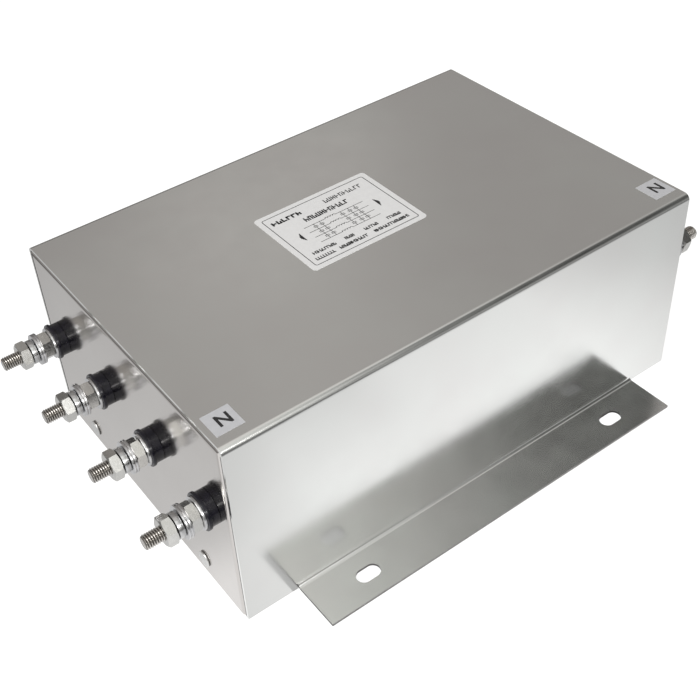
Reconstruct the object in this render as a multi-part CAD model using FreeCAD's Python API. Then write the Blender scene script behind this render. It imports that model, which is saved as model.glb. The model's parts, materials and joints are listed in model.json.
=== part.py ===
import FreeCAD, Part
import math
import os

# Three-phase, four-wire line filter in a folded sheet-metal case with screw terminals at both ends.
# Frame: millimetres, origin at the centre of the underside, +X from the line end to the load end,
# +Y across the case, +Z up. The line end and the front long side face the usual viewer.

# Case, its width set by the row of terminals
terminal_pitch = 52.5
terminal_from_wall = 20.0
case_length = 301.0
case_width = 3 * terminal_pitch + 2 * terminal_from_wall
case_height = 120.0
sheet = 1.5
bend_inner = 2.3
bend_outer = bend_inner + sheet
cover_setback = 0.5

# Feet, bent outward from the lower edges of the long walls
foot_length = 241.4
foot_width = 29.2
foot_shift = 1.1
slot_pitch = 175.8
slot_from_wall = 15.5
slot_length = 14.0
slot_width = 8.5

# End plates and base plate
rim_depth = 13.5
base_lip_height = 22.0
base_lip_width = 140.0
rivet_spacing = 121.0
rivet_height = 10.4
rivet_shank_d = 4.8
rivet_head_d = 9.4
rivet_head_height = 1.7
rivet_head_sides = 12
rivet_dome_ratios = ((0.0, 1.0), (0.55, 0.84), (1.0, 0.45))
rivet_tail_d = 6.6
rivet_tail_length = 2.5

# Terminals: places, and what sits on each stud from the case outward
terminal_height = 67.8
stud_d = 8.0
stud_reach = 36.3
stud_past_collar = 12.0
stud_chamfer = 0.9
stud_end_gap = 0.3
thread_sides = 8
bushing_body_d = 18.8
bushing_body_length = 4.7
bushing_lip_d = 20.5
bushing_lip_length = 1.9
bushing_sides = 18
spigot_d = 14.0
spigot_sides = 10
hole_sides = 8
collar_size = 20.0
collar_length = 4.5
washer_d = 18.0
washer_bore_d = 8.4
washer_thickness = 1.5
washer_sides = 14
washer_hole_sides = 6
nut_across_flats = 14.0
nut_height = 5.8
spring_d = 13.8
spring_section = 2.1
spring_free_height = 4.0
spring_turn_deg = 344.0
spring_start_deg = 8.0
spring_steps = 10

# Conductors inside
bar_thickness = 3.0
bar_width = 16.0
low_bar_height = 54.0
high_bar_height = 82.0
bar_knee = 1.5
bar_joint_sides = 8

# Four-winding choke, lying flat in the middle of the case
pad_size = 112.0
pad_thickness = 3.0
core_outer_d = 96.0
core_inner_d = 56.0
core_height = 38.0
core_outer_sides = 36
core_inner_sides = 24
strip_width = 5.0
strip_thickness = 3.5
strip_clearance = 0.2
turns = 4
winding_start_deg = 23.0
winding_end_deg = 77.0
clamp_plate_size = 54.0
clamp_plate_thickness = 3.5
clamp_stud_d = 6.0
clamp_stud_past_nut = 3.0
clamp_nut_across_flats = 10.0
clamp_nut_height = 5.0

# Capacitor boards, one at each end
board_length = 60.0
board_from_wall = 9.5
board_thickness = 1.6
board_height = 8.0
board_from_end = 16.0
support_across_flats = 6.0
support_inset = 4.5
x_capacitor = (36.0, 18.0, 30.0)
y_capacitor = (8.0, 16.0, 14.0)
y_capacitor_margin = 2.0
y_capacitor_offset = 8.0
resistor = (14.0, 4.4, 5.0)
lead_width = 3.0
lead_thickness = 0.8
lead_from_end = 20.0

# Labels on the top
label_size = (75.5, 58.0)
label_place = (-6.7, 7.5)
label_thickness = 0.25
mark_size = 15.0
mark_from_ends = (11.2, 9.8)
mark_from_wall = 16.1

# Worked out from the sizes above
half_length = case_length / 2
half_width = case_width / 2
inner_half_width = half_width - sheet
rows = {
    "n": -1.5 * terminal_pitch,
    "l3": -0.5 * terminal_pitch,
    "l2": 0.5 * terminal_pitch,
    "l1": 1.5 * terminal_pitch,
}
UP = FreeCAD.Vector(0, 0, 1)
ALONG = FreeCAD.Vector(1, 0, 0)
ORIGIN = FreeCAD.Vector(0, 0, 0)


def vec(x, y, z):
    return FreeCAD.Vector(x, y, z)


def box(x0, x1, y0, y1, z0, z1):
    return Part.makeBox(x1 - x0, y1 - y0, z1 - z0, vec(x0, y0, z0))


def outline(corners, to_space):
    """Closed wire through corners (a, b, radius), with an arc of that radius at each rounded corner."""
    edges = []
    ends = []
    count = len(corners)
    for i, (a, b, radius) in enumerate(corners):
        here = FreeCAD.Vector(a, b, 0)
        if radius <= 0:
            ends.append((here, here))
            continue
        before = FreeCAD.Vector(*corners[i - 1][:2], 0)
        after = FreeCAD.Vector(*corners[(i + 1) % count][:2], 0)
        u = (before - here).normalize()
        w = (after - here).normalize()
        half_angle = u.getAngle(w) / 2
        reach = radius / math.tan(half_angle)
        start = here + u * reach
        end = here + w * reach
        bisector = (u + w).normalize()
        middle = here + bisector * (radius / math.sin(half_angle) - radius)
        edges.append(Part.Arc(to_space(start), to_space(middle), to_space(end)).toShape())
        ends.append((start, end))
    for i in range(count):
        start = ends[i][1]
        end = ends[(i + 1) % count][0]
        if start.distanceToPoint(end) > 1e-6:
            edges.append(Part.LineSegment(to_space(start), to_space(end)).toShape())
    return Part.Wire(Part.__sortEdges__(edges))


def prism_along_x(corners, x0, x1):
    """Section drawn as (y, z, radius), drawn out from x0 to x1."""
    wire = outline(corners, lambda p: vec(x0, p.x, p.y))
    return Part.Face(wire).extrude(vec(x1 - x0, 0, 0))


def prism_along_y(corners, y0, y1):
    """Section drawn as (x, z, radius), drawn out from y0 to y1."""
    wire = outline(corners, lambda p: vec(p.x, y0, p.y))
    return Part.Face(wire).extrude(vec(0, y1 - y0, 0))


def polygon(sides, corner_radius, centre, direction, turn_deg=0.0):
    """Closed many-sided wire across X or Z."""
    points = []
    for k in range(sides + 1):
        angle = math.radians(turn_deg + 360 * k / sides)
        a, b = corner_radius * math.cos(angle), corner_radius * math.sin(angle)
        points.append(centre + (vec(a, b, 0) if direction is UP else vec(0, a, b)))
    return Part.makePolygon(points)


def many_sided(sides, corner_radius, centre, direction, length, turn_deg=0.0):
    """Prism that stands in for a round bar, its corners on the circle."""
    face = Part.Face(polygon(sides, corner_radius, centre, direction, turn_deg))
    return face.extrude(direction * length)


def hole_around(diameter, sides, centre, direction, length):
    """Many-sided tool for a hole that clears a round bar of this diameter."""
    return many_sided(sides, diameter / 2 / math.cos(math.pi / sides), centre, direction, length)


def fuse_all(pieces):
    solid = pieces[0]
    if len(pieces) > 1:
        solid = solid.multiFuse(pieces[1:])
    return solid.removeSplitter()


def at_load_end(shape):
    """The same piece at the other end of the case, turned half round about the upright centre line."""
    copy = shape.copy()
    copy.rotate(ORIGIN, UP, 180)
    return copy


def mirrored_y(shape):
    return shape.mirror(ORIGIN, vec(0, 1, 0))


# Case


def wall_corners():
    """U section of the cover beyond the ends of the feet."""
    inner_top = case_height - sheet
    return [
        (-half_width, 0, 0),
        (-inner_half_width, 0, 0),
        (-inner_half_width, inner_top, bend_inner),
        (inner_half_width, inner_top, bend_inner),
        (inner_half_width, 0, 0),
        (half_width, 0, 0),
        (half_width, case_height, bend_outer),
        (-half_width, case_height, bend_outer),
    ]


def hat_corners():
    """Section of the cover where the walls turn outward into the feet."""
    tip = half_width + foot_width
    inner_top = case_height - sheet
    return [
        (-tip, 0, 0),
        (-inner_half_width, 0, bend_outer),
        (-inner_half_width, inner_top, bend_inner),
        (inner_half_width, inner_top, bend_inner),
        (inner_half_width, 0, bend_outer),
        (tip, 0, 0),
        (tip, sheet, 0),
        (half_width, sheet, bend_inner),
        (half_width, case_height, bend_outer),
        (-half_width, case_height, bend_outer),
        (-half_width, sheet, bend_inner),
        (-tip, sheet, 0),
    ]


def slot(x, y):
    straight = (slot_length - slot_width) / 2
    radius = slot_width / 2
    low = -sheet
    height = 3 * sheet
    body = box(x - straight, x + straight, y - radius, y + radius, low, low + height)
    ends = [Part.makeCylinder(radius, height, vec(x + s * straight, y, low), UP) for s in (-1, 1)]
    return body.fuse(ends)


def make_cover():
    foot_start = foot_shift - foot_length / 2
    foot_end = foot_shift + foot_length / 2
    cover_end = half_length - cover_setback
    pieces = [
        prism_along_x(hat_corners(), foot_start, foot_end),
        prism_along_x(wall_corners(), -cover_end, foot_start),
        prism_along_x(wall_corners(), foot_end, cover_end),
    ]
    cover = fuse_all(pieces)
    for side in (-1, 1):
        for end in (-1, 1):
            slot_x = foot_shift + end * slot_pitch / 2
            cover = cover.cut(slot(slot_x, side * (half_width + slot_from_wall)))
    return cover


def rounded_pan(x0, x1, half_y, top, radius):
    """Block whose front, side and top edges are rounded, for the outside or inside of an end plate."""
    low = -sheet
    seen_along = [(-half_y, low, 0), (half_y, low, 0), (half_y, top, radius), (-half_y, top, radius)]
    seen_across = [(x0, low, 0), (x1, low, 0), (x1, top, 0), (x0, top, radius)]
    plan = [(x0, -half_y, radius), (x1, -half_y, 0), (x1, half_y, 0), (x0, half_y, radius)]
    upright = Part.Face(outline(plan, lambda p: vec(p.x, p.y, low))).extrude(vec(0, 0, top - low))
    block = prism_along_x(seen_along, x0, x1)
    block = block.common(prism_along_y(seen_across, -half_y, half_y))
    return block.common(upright)


def make_end_plate():
    """Line-end plate: a pan with its rim folded inward along the sides and the top."""
    face = -half_length
    back = face + rim_depth
    outside = rounded_pan(face, back, inner_half_width, case_height - sheet, bend_outer)
    inner_side = inner_half_width - sheet
    inside = rounded_pan(face + sheet, back + sheet, inner_side, case_height - 2 * sheet, bend_inner)
    below = box(face - sheet, back + sheet, -half_width, half_width, -2 * sheet, 0)
    pan = outside.cut(inside).cut(below)
    for y in rows.values():
        centre = vec(face - sheet, y, terminal_height)
        pan = pan.cut(many_sided(spigot_sides, spigot_d / 2, centre, ALONG, 3 * sheet))
    for side in (-1, 1):
        centre = vec(face - sheet, side * rivet_spacing / 2, rivet_height)
        pan = pan.cut(many_sided(hole_sides, rivet_shank_d / 2, centre, ALONG, 3 * sheet))
    return pan


def make_base_plate():
    """Bottom sheet between the end plates, with a lip turned up at each end for the rivets."""
    end = half_length - sheet
    bend_start = end - bend_outer
    half_lip = base_lip_width / 2
    pieces = [box(-bend_start, bend_start, -inner_half_width, inner_half_width, 0, sheet)]
    lip = [
        (-bend_start, 0, 0),
        (-end, 0, bend_outer),
        (-end, base_lip_height, 0),
        (sheet - end, base_lip_height, 0),
        (sheet - end, sheet, bend_inner),
        (-bend_start, sheet, 0),
    ]
    line_lip = prism_along_y(lip, -half_lip, half_lip)
    near_ear = box(-end, -bend_start, -inner_half_width, -half_lip, 0, sheet)
    far_ear = box(-end, -bend_start, half_lip, inner_half_width, 0, sheet)
    for piece in (line_lip, near_ear, far_ear):
        pieces.append(piece)
        pieces.append(at_load_end(piece))
    base = fuse_all(pieces)
    rim_back = half_length - rim_depth
    for sx in (-1, 1):
        for sy in (-1, 1):
            x0, x1 = sorted((sx * rim_back, sx * half_length))
            y0, y1 = sorted((sy * (inner_half_width - bend_outer), sy * half_width))
            base = base.cut(box(x0, x1, y0, y1, -sheet, 2 * sheet))
    for sx in (-1, 1):
        for sy in (-1, 1):
            start = vec(sx * half_length - 3 * sheet, sy * rivet_spacing / 2, rivet_height)
            base = base.cut(many_sided(hole_sides, rivet_shank_d / 2, start, ALONG, 6 * sheet))
    return base


def make_rivets():
    """Domed rivets through each end plate and the lip of the base plate behind it."""
    face = -half_length
    inner_face = face + 2 * sheet
    rivets = []
    for side in (-1, 1):
        y = side * rivet_spacing / 2
        rings = []
        for height_share, width_share in rivet_dome_ratios:
            x = face - height_share * rivet_head_height
            radius = width_share * rivet_head_d / 2
            rings.append(polygon(rivet_head_sides, radius, vec(x, y, rivet_height), ALONG))
        head = Part.makeLoft(rings, True, True)
        shank_start = vec(face, y, rivet_height)
        shank = many_sided(hole_sides, rivet_shank_d / 2, shank_start, ALONG, inner_face - face)
        tail_start = vec(inner_face, y, rivet_height)
        tail = many_sided(hole_sides, rivet_tail_d / 2, tail_start, ALONG, rivet_tail_length)
        rivets.append(fuse_all([head, shank, tail]))
    return rivets + [at_load_end(rivet) for rivet in rivets]


# Terminals, built at the line end on the stud at y, then turned for the load end

face_x = -half_length
bushing_end = face_x - bushing_body_length - bushing_lip_length
first_washer = bushing_end - washer_thickness
clamp_nut_end = first_washer - nut_height
second_washer = clamp_nut_end - washer_thickness
third_washer = second_washer - washer_thickness
spring_end = third_washer - spring_free_height
terminal_nut_end = spring_end - nut_height
free_end = terminal_nut_end - stud_end_gap
stud_tip = face_x - stud_reach
collar_start = face_x + sheet
collar_end = collar_start + collar_length
tab_end = collar_end + bar_thickness
inside_nut_end = tab_end + nut_height
stud_back = collar_end + stud_past_collar


def on_stud(x, y):
    return vec(x, y, terminal_height)


def make_bushing(y):
    """Moulded bushing: body and outer lip, and a spigot through the end plate and the collar behind it."""
    start = on_stud(bushing_end, y)
    lip = many_sided(bushing_sides, bushing_lip_d / 2, start, ALONG, bushing_lip_length)
    body_start = on_stud(face_x - bushing_body_length, y)
    body = many_sided(bushing_sides, bushing_body_d / 2, body_start, ALONG, bushing_body_length)
    spigot = many_sided(spigot_sides, spigot_d / 2, on_stud(face_x, y), ALONG, collar_end - face_x)
    whole = fuse_all([lip, body, spigot])
    return whole.cut(hole_around(stud_d, hole_sides, start, ALONG, collar_end - bushing_end))


def make_collar(y):
    """Square insulating collar on the bushing's spigot, between the end plate and the busbar."""
    half = collar_size / 2
    low = terminal_height - half
    block = box(collar_start, collar_end, y - half, y + half, low, low + collar_size)
    return block.cut(many_sided(spigot_sides, spigot_d / 2, on_stud(collar_start, y), ALONG, collar_length))


def make_stud(y):
    """Threaded rod at its outer diameter: round where a cable lug goes on, many-sided under its nuts."""
    radius = stud_d / 2
    point = Part.makeCone(radius - stud_chamfer, radius, stud_chamfer, on_stud(stud_tip, y), ALONG)
    free_start = stud_tip + stud_chamfer
    free = Part.makeCylinder(radius, free_end - free_start, on_stud(free_start, y), ALONG)
    held = many_sided(thread_sides, radius, on_stud(free_end, y), ALONG, stud_back - free_end)
    return fuse_all([point, free, held])


def washer(x, y):
    ring = many_sided(washer_sides, washer_d / 2, on_stud(x, y), ALONG, washer_thickness)
    return ring.cut(hole_around(washer_bore_d, washer_hole_sides, on_stud(x, y), ALONG, washer_thickness))


def tapped_hexagon(across_flats, bore, centre, direction, height):
    block = many_sided(6, across_flats / math.sqrt(3), centre, direction, height, 30)
    return block.cut(many_sided(thread_sides, bore / 2, centre, direction, height))


def nut(x0, x1, y):
    return tapped_hexagon(nut_across_flats, stud_d, on_stud(x0, y), ALONG, x1 - x0)


def make_spring_washer(y):
    """Split spring washer, not pressed flat: one square-section turn that climbs from end to end."""
    inner = washer_bore_d / 2
    outer = spring_d / 2
    climb = spring_free_height - spring_section
    sections = []
    for k in range(spring_steps + 1):
        share = k / spring_steps
        angle = math.radians(spring_start_deg + spring_turn_deg * share)
        x0 = spring_end + climb * share
        corners = []
        for x, r in ((x0, inner), (x0, outer), (x0 + spring_section, outer), (x0 + spring_section, inner)):
            corners.append(vec(x, y + r * math.cos(angle), terminal_height + r * math.sin(angle)))
        sections.append(Part.makePolygon(corners + corners[:1]))
    return Part.makeLoft(sections, True, True)


def both_ends(make, names):
    """One piece for each terminal of the line end, followed by those of the load end."""
    line = [make(rows[name]) for name in names]
    load = [at_load_end(make(-rows[name])) for name in names]
    return line, load


# Busbars, drawn as a path in plan at one height and a tab turned up or down to the stud


def strip_path(points, z0):
    """Flat bar along a path, with blunt ends and corners."""
    radius = bar_width / 2
    pieces = []
    for x, y in points:
        pieces.append(many_sided(bar_joint_sides, radius, vec(x, y, z0), UP, bar_thickness))
    for (xa, ya), (xb, yb) in zip(points, points[1:]):
        length = math.hypot(xb - xa, yb - ya)
        run = box(0, length, -radius, radius, z0, z0 + bar_thickness)
        run.rotate(ORIGIN, UP, math.degrees(math.atan2(yb - ya, xb - xa)))
        run.translate(vec(xa, ya, 0))
        pieces.append(run)
    return fuse_all(pieces)


def busbar(y, path, height):
    """Bar whose first stretch runs along X to the line end and turns to the stud at y."""
    tab_x = collar_end
    knee_x = tab_x + bar_thickness + bar_knee
    half = bar_width / 2
    high = height > terminal_height
    if high:
        corners = [
            (tab_x, terminal_height - half, 0),
            (tab_x, height + bar_thickness, 0),
            (knee_x, height + bar_thickness, 0),
            (knee_x, height, 0),
            (tab_end, height, 0),
            (tab_end, terminal_height - half, 0),
        ]
    else:
        corners = [
            (tab_x, terminal_height + half, 0),
            (tab_x, height, 0),
            (knee_x, height, 0),
            (knee_x, height + bar_thickness, 0),
            (tab_end, height + bar_thickness, 0),
            (tab_end, terminal_height + half, 0),
        ]
    knee = prism_along_y(corners, y - half, y + half)
    first_x, first_y = path[0]
    lead_in = box(knee_x, first_x, first_y - half, first_y + half, height, height + bar_thickness)
    bar = fuse_all([knee, lead_in, strip_path(path, height)])
    return bar.cut(hole_around(stud_d, hole_sides, on_stud(tab_x, y), ALONG, bar_thickness))


def make_busbars():
    """Two bars for each conductor. The pair on each side of the middle crosses at two heights."""
    reach = core_outer_d / 2 + strip_thickness / 2
    start = math.radians(winding_start_deg)
    end = math.radians(winding_end_deg)
    near_x, near_y = reach * math.cos(start), reach * math.sin(start)
    far_x, far_y = reach * math.cos(end), reach * math.sin(end)
    first = -half_length + rim_depth + bar_width
    inner_row = rows["l2"]
    outer_row = rows["l1"]
    near = (-near_x, near_y)
    far = (far_x, far_y)
    inner_knee = (-near_x - bar_width, inner_row)
    crossing_knee = (-far_x - bar_width, inner_row)
    outer_knee = (-near_x - 3 * bar_width, outer_row)
    line_l2 = busbar(inner_row, [(first, inner_row), inner_knee, near], low_bar_height)
    line_l1 = busbar(outer_row, [(first, outer_row), (far_x, outer_row), far], low_bar_height)
    load_l2 = busbar(inner_row, [(first, inner_row), crossing_knee, far], high_bar_height)
    load_l1 = busbar(outer_row, [(first, outer_row), outer_knee, near], low_bar_height)
    load_l1, load_l2 = (mirrored_y(at_load_end(bar)) for bar in (load_l1, load_l2))
    return {
        "line_busbar_l1": line_l1,
        "line_busbar_l2": line_l2,
        "line_busbar_l3": mirrored_y(line_l2),
        "line_busbar_n": mirrored_y(line_l1),
        "load_busbar_l1": load_l1,
        "load_busbar_l2": load_l2,
        "load_busbar_l3": mirrored_y(load_l2),
        "load_busbar_n": mirrored_y(load_l1),
    }


# Choke

pad_top = sheet + pad_thickness
core_bottom = pad_top + strip_thickness
core_top = core_bottom + core_height
winding_top = core_top + strip_thickness
clamp_top = winding_top + clamp_plate_thickness


def make_core():
    """Coated ring core lying flat."""
    centre = vec(0, 0, core_bottom)
    ring = many_sided(core_outer_sides, core_outer_d / 2, centre, UP, core_height)
    return ring.cut(hole_around(core_inner_d, core_inner_sides, centre, UP, core_height))


def polar(radius, degrees):
    angle = math.radians(degrees)
    return vec(radius * math.cos(angle), radius * math.sin(angle), 0)


def make_winding(start_deg, end_deg, start_top, end_top):
    """Flat copper strip wound through the ring, its two ends led up to their bars."""
    half = strip_width / 2
    outer_face = core_outer_d / 2
    outer_back = outer_face + strip_thickness
    inner_back = core_inner_d / 2 - strip_clearance
    inner_face = inner_back - strip_thickness
    step = (end_deg - start_deg) / turns

    def upright(r0, r1, z0, z1, angle):
        leg = box(r0, r1, -half, half, z0, z1)
        leg.rotate(ORIGIN, UP, angle)
        return leg

    pieces = []
    for k in range(turns):
        angle = start_deg + k * step
        following = angle + step
        leg_top = start_top if k == 0 else winding_top
        pieces.append(upright(outer_face, outer_back, pad_top, leg_top, angle))
        pieces.append(upright(inner_face, outer_back, pad_top, core_bottom, angle))
        pieces.append(upright(inner_face, inner_back, pad_top, winding_top, angle))
        from_inside = polar((inner_face + inner_back) / 2, angle)
        to_outside = polar((outer_face + outer_back) / 2, following)
        across = to_outside - from_inside
        crossing = box(0, across.Length, -half, half, core_top, winding_top)
        crossing.rotate(ORIGIN, UP, math.degrees(math.atan2(across.y, across.x)))
        crossing.translate(from_inside)
        pieces.append(crossing)
    pieces.append(upright(outer_face, outer_back, core_top, end_top, end_deg))
    return fuse_all(pieces)


def make_windings():
    l1 = make_winding(winding_end_deg, winding_start_deg, low_bar_height, low_bar_height)
    l2 = make_winding(180 - winding_start_deg, 180 - winding_end_deg, low_bar_height, high_bar_height)
    return {
        "choke_winding_l1": l1,
        "choke_winding_l2": l2,
        "choke_winding_l3": mirrored_y(l2),
        "choke_winding_n": mirrored_y(l1),
    }


def square_with_hole(size, z0, z1):
    square = box(-size / 2, size / 2, -size / 2, size / 2, z0, z1)
    return square.cut(many_sided(thread_sides, clamp_stud_d / 2, vec(0, 0, z0), UP, z1 - z0))


def make_clamp_stud():
    """Stud welded to the base plate, up through pad, core and clamp plate."""
    stud_height = clamp_top + clamp_nut_height + clamp_stud_past_nut - sheet
    return many_sided(thread_sides, clamp_stud_d / 2, vec(0, 0, sheet), UP, stud_height)


def make_clamp_nut():
    start = vec(0, 0, clamp_top)
    return tapped_hexagon(clamp_nut_across_flats, clamp_stud_d, start, UP, clamp_nut_height)


# Capacitor boards, drawn for the line end

board_x0 = -half_length + board_from_end
board_x1 = board_x0 + board_length
half_board = half_width - board_from_wall
board_top = board_height + board_thickness
support_places = [
    (x, side * (half_board - support_inset))
    for x in (board_x0 + support_inset, board_x1 - support_inset)
    for side in (-1, 1)
]


def make_board():
    return box(board_x0, board_x1, -half_board, half_board, board_height, board_top)


def make_supports():
    """Hexagonal metal pillars between the base plate and the board, which they also earth."""
    corner_r = support_across_flats / math.sqrt(3)
    height = board_height - sheet
    return [many_sided(6, corner_r, vec(x, y, sheet), UP, height) for x, y in support_places]


def capacitor(x, y, size):
    length, width, height = size
    return box(x - length / 2, x + length / 2, y - width / 2, y + width / 2, board_top, board_top + height)


def make_x_capacitors():
    middle = (board_x0 + board_x1) / 2
    return [capacitor(middle, y, x_capacitor) for y in (-terminal_pitch, 0.0, terminal_pitch)]


def make_y_capacitors():
    x = board_x1 - y_capacitor_margin - y_capacitor[0] / 2
    return [capacitor(x, y - math.copysign(y_capacitor_offset, y), y_capacitor) for y in rows.values()]


def make_resistors():
    """Rectangular discharge resistors beside the X capacitors of the line end."""
    length, width, height = resistor
    middle = (board_x0 + board_x1) / 2
    beside = terminal_pitch - x_capacitor[1] / 2 - width
    places = (-beside, beside, terminal_pitch + x_capacitor[1] / 2 + width)
    x0, x1 = middle - length / 2, middle + length / 2
    return [box(x0, x1, y - width / 2, y + width / 2, board_top, board_top + height) for y in places]


def make_leads(heights):
    """Flat copper links from the board up to the underside of each bar."""
    x0 = -half_length + lead_from_end
    x1 = x0 + lead_thickness
    half = lead_width / 2
    return [box(x0, x1, y - half, y + half, board_top, heights[name]) for name, y in rows.items()]


# Labels


def label(x, y, length, width):
    top = case_height + label_thickness
    return box(x - length / 2, x + length / 2, y - width / 2, y + width / 2, case_height, top)


def export(name, shapes):
    solids = []
    for shape in shapes:
        solids.extend(shape.Solids)
    shape = solids[0] if len(solids) == 1 else Part.makeCompound(solids)
    valid = shape.isValid()
    print(f"{name}: {len(solids)} solids, {sum(s.Volume for s in solids):.0f} mm3, valid {valid}")
    shape.exportStep(f"parts/{name}.step")


def main():
    os.makedirs("parts", exist_ok=True)
    names = list(rows)
    low = {name: low_bar_height for name in names}
    crossed = dict(low, l2=high_bar_height, l3=high_bar_height)
    end_plate = make_end_plate()
    bushings = both_ends(make_bushing, names)
    collars = both_ends(make_collar, names)
    board = make_board()

    nodes = {
        "cover": [make_cover()],
        "base_plate": [make_base_plate()],
        "line_end_plate": [end_plate],
        "load_end_plate": [at_load_end(end_plate)],
        "end_rivets": make_rivets(),
        "line_bushings": bushings[0],
        "load_bushings": bushings[1],
        "line_inner_collars": collars[0],
        "load_inner_collars": collars[1],
    }

    fasteners = {
        "terminal_studs": [make_stud],
        "flat_washers": [
            lambda y: washer(first_washer, y),
            lambda y: washer(second_washer, y),
            lambda y: washer(third_washer, y),
        ],
        "clamp_nuts": [lambda y: nut(clamp_nut_end, first_washer, y)],
        "spring_washers": [make_spring_washer],
        "terminal_nuts": [lambda y: nut(terminal_nut_end, spring_end, y)],
        "inside_nuts": [lambda y: nut(tab_end, inside_nut_end, y)],
    }
    for name, makers in fasteners.items():
        nodes[name] = []
        for make in makers:
            line, load = both_ends(make, names)
            nodes[name] += line + load

    for name, bar in make_busbars().items():
        nodes[name] = [bar]
    nodes["choke_pad"] = [square_with_hole(pad_size, sheet, pad_top)]
    nodes["choke_core"] = [make_core()]
    for name, winding in make_windings().items():
        nodes[name] = [winding]
    nodes["choke_clamp_plate"] = [square_with_hole(clamp_plate_size, winding_top, clamp_top)]
    nodes["choke_clamp_stud"] = [make_clamp_stud()]
    nodes["choke_clamp_nut"] = [make_clamp_nut()]

    nodes["line_capacitor_board"] = [board]
    nodes["load_capacitor_board"] = [at_load_end(board)]
    supports = make_supports()
    nodes["board_supports"] = supports + [at_load_end(support) for support in supports]
    nodes["line_x_capacitors"] = make_x_capacitors()
    nodes["load_x_capacitors"] = [at_load_end(shape) for shape in make_x_capacitors()]
    nodes["line_y_capacitors"] = make_y_capacitors()
    nodes["load_y_capacitors"] = [at_load_end(shape) for shape in make_y_capacitors()]
    nodes["discharge_resistors"] = make_resistors()
    nodes["line_leads"] = make_leads(low)
    nodes["load_leads"] = [at_load_end(shape) for shape in make_leads(crossed)]

    nodes["rating_label"] = [label(*label_place, *label_size)]
    mark_y = mark_from_wall - half_width
    mark_places = (mark_from_ends[0] - half_length, half_length - mark_from_ends[1])
    nodes["neutral_labels"] = [label(x, mark_y, mark_size, mark_size) for x in mark_places]

    for name, shapes in nodes.items():
        export(name, shapes)
    print(len(nodes), "nodes")


main()
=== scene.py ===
import json
import math

import bmesh
import bpy
from mathutils import Matrix, Vector


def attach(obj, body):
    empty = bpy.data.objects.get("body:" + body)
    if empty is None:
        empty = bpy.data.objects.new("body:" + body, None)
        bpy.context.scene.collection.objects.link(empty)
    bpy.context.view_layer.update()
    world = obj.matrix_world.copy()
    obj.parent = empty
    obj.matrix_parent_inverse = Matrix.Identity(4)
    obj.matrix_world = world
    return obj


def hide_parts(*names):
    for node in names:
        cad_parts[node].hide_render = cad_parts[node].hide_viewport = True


# Looks of a three-phase line filter: tinned sheet case, black bushings, plated stud terminals.
# Sizes are in millimetres, as in the part's source, and are scaled to metres when a mesh is made.

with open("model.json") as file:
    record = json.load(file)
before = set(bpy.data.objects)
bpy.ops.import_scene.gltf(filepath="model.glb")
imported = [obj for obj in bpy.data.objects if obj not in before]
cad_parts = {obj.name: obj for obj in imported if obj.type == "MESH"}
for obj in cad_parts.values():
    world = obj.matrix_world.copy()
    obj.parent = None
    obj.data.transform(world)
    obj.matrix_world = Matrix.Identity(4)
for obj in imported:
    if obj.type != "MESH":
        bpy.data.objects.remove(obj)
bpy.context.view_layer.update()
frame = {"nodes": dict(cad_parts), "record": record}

MM = 0.001
FACE_X = -150.5
TERMINAL_Z = 67.8
ROWS = (-78.75, -26.25, 26.25, 78.75)
STUD_TIP = -186.8
STUD_BACK = -132.5
BUSHING_END = -157.1
FIRST_WASHER = -158.6
CLAMP_NUT = -164.4
SECOND_WASHER = -165.9
THIRD_WASHER = -167.4
SPRING_END = -171.4
TERMINAL_NUT = -177.2
CASE_TOP = 120.0
HALF_W = 98.75
STUD_R = 4.0
RIVET_Y, RIVET_Z = 60.5, 10.4
BUSHING_BODY_R, BUSHING_LIP_R, BUSHING_LIP = 9.4, 10.25, 1.9
SPIGOT_R, SPIGOT_LENGTH, BUSHING_BORE_R = 7.0, 6.0, 4.05
WASHER_R, WASHER_BORE_R, WASHER_THICK = 9.0, 4.2, 1.5
EDGE_R, MOULDED_EDGE_R = 0.22, 0.45
WHOLE = Matrix.Identity(4)
TURN = Matrix.Rotation(math.pi, 4, "Z")


# Mesh helpers


class Shape:
    """Gathers vertices and faces in millimetres for one object."""

    def __init__(self):
        self.verts = []
        self.faces = []

    def add(self, part, place=Matrix.Identity(4)):
        verts, faces = part
        base = len(self.verts)
        self.verts.extend(place @ Vector(v) for v in verts)
        self.faces.extend(tuple(i + base for i in face) for face in faces)

    def build(self, name, material, nodes=(), sharp_deg=32.0):
        """One object from all that was added, in one material."""
        mesh = bpy.data.meshes.new(name)
        mesh.from_pydata([tuple(v * MM) for v in self.verts], [], self.faces)
        bm = bmesh.new()
        bm.from_mesh(mesh)
        bmesh.ops.remove_doubles(bm, verts=bm.verts, dist=1e-7)
        bmesh.ops.recalc_face_normals(bm, faces=bm.faces)
        bm.to_mesh(mesh)
        bm.free()
        return place_mesh(mesh, name, material, nodes, sharp_deg)


def place_mesh(mesh, name, material, nodes, sharp_deg):
    mesh.polygons.foreach_set("use_smooth", [True] * len(mesh.polygons))
    mesh.set_sharp_from_angle(angle=math.radians(sharp_deg))
    mesh.materials.clear()
    mesh.materials.append(material)
    obj = bpy.data.objects.new(name, mesh)
    bpy.context.collection.objects.link(obj)
    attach(obj, "root")
    if nodes:
        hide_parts(*nodes)
    return obj


def terminals(height=TERMINAL_Z):
    """Places of the eight terminals: the line end first, then the load end, turned half round."""
    places = []
    for turn in (WHOLE, TURN):
        for y in ROWS:
            places.append(turn @ Matrix.Translation((0, y, height)))
    return places


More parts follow.
